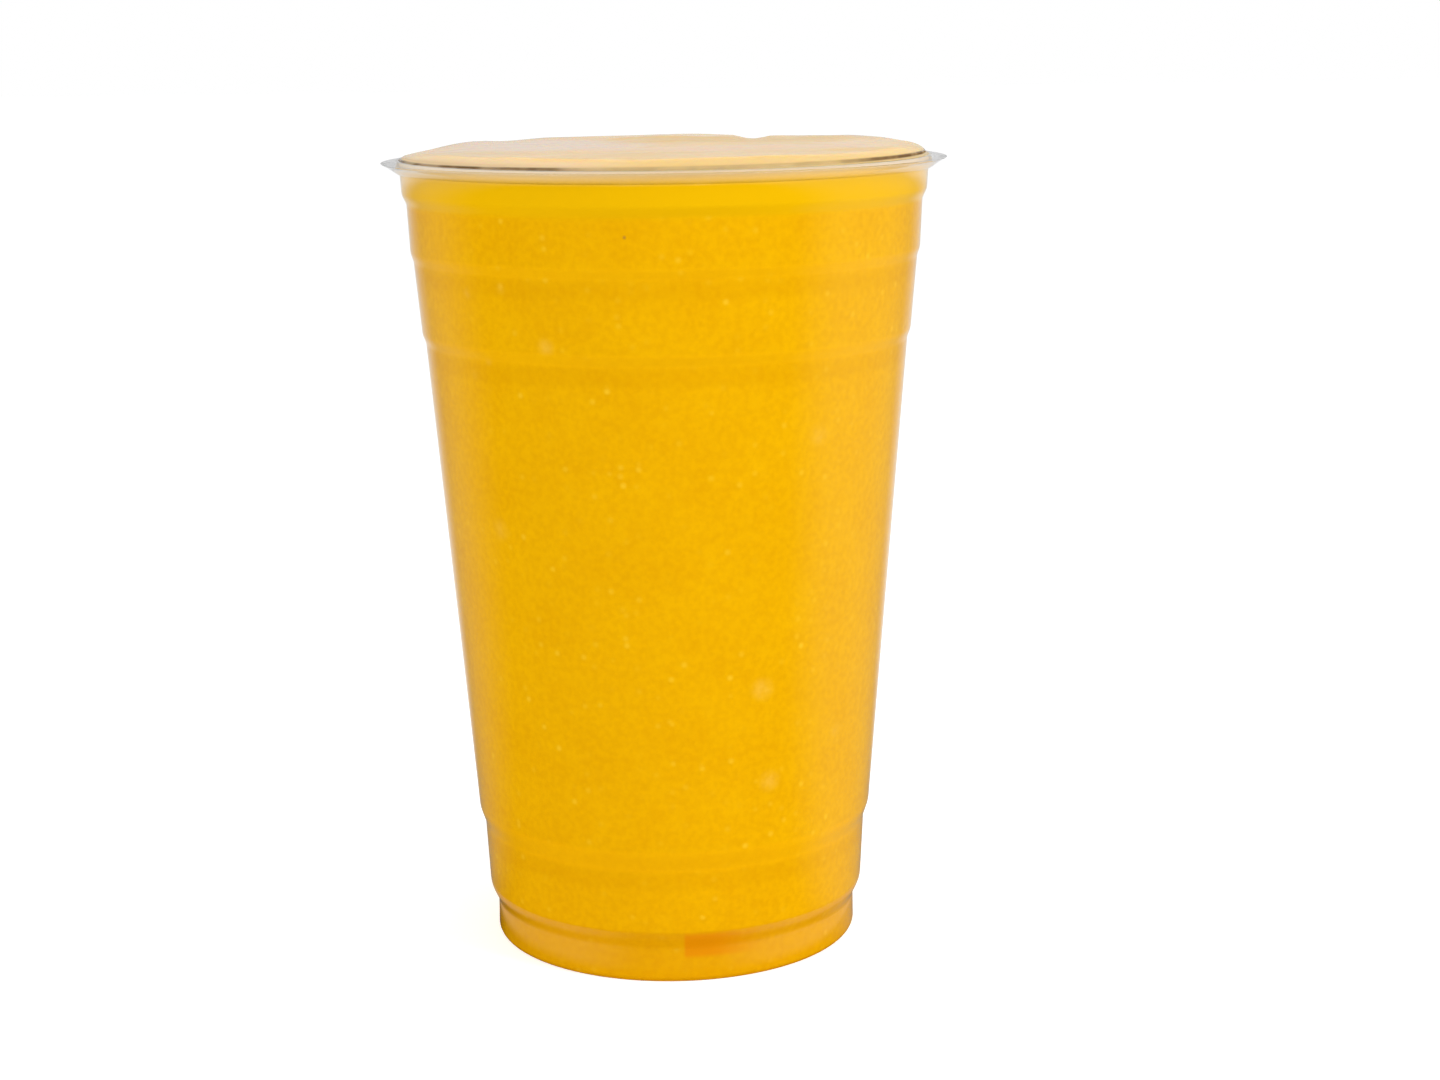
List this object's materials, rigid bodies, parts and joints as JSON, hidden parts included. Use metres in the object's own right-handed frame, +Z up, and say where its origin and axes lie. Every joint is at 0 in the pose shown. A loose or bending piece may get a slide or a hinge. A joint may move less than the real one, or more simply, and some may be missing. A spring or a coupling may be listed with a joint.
{
  "type": "mango juice in a plastic cup",
  "caption": "Tall tapered clear plastic cup with a rolled rim and stepped rings, filled over its brim with thick mango juice.",
  "frame": {"origin": "middle of the cup's base, at the height of the ring that it stands on", "axes": "+Z up along the cup's axis, -Y towards the camera of the picture, +X to the right in it"},
  "size_m": [0.098, 0.098, 0.1417],
  "materials": {
    "clear_plastic": "clear and glossy",
    "mango_juice": "opaque, wet and glossy, with fine pulp"
  },
  "bodies": {
    "root": {"cup": "clear_plastic", "juice": "mango_juice"}
  },
  "joints": []
}
